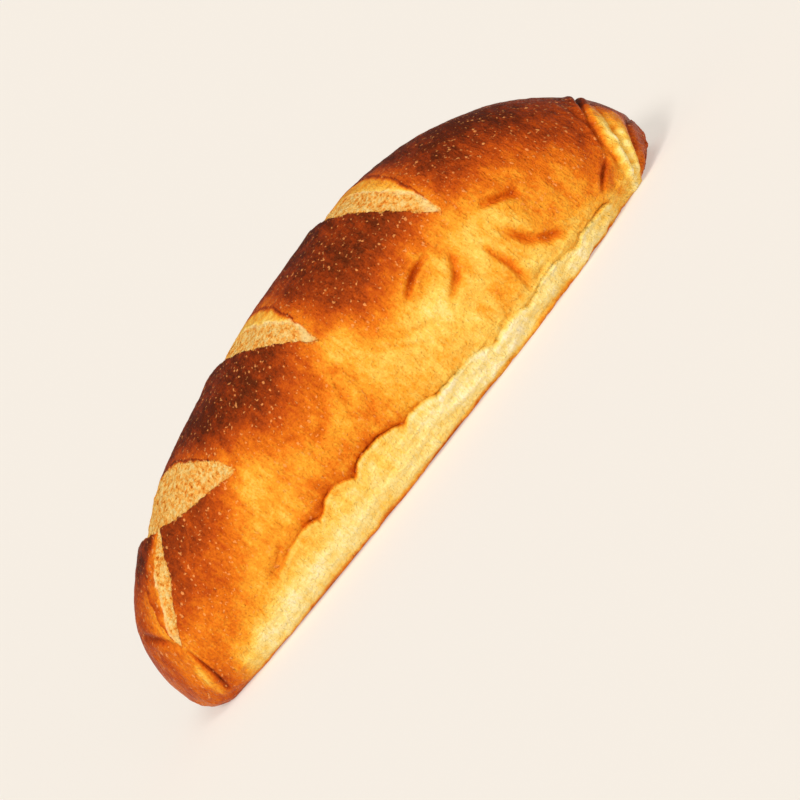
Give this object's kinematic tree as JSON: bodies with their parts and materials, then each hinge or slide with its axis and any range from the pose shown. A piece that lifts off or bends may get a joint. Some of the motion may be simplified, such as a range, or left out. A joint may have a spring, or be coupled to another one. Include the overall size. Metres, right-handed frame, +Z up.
{
  "type": "baguette",
  "caption": "Short, plump baguette loaf with slanted slashes over a domed crust and a flat underside to rest on.",
  "frame": {"origin": "centre of the loaf's bounding box seen from above, on the surface that the loaf rests on", "axes": "+X along the loaf towards its lower, more pointed end; -Y is the front, where the slashes' long tips end; +Z up"},
  "size_m": [0.26, 0.092, 0.0785],
  "materials": {
    "crust": "satin baked crust"
  },
  "bodies": {
    "root": {"loaf": "crust"}
  },
  "joints": []
}
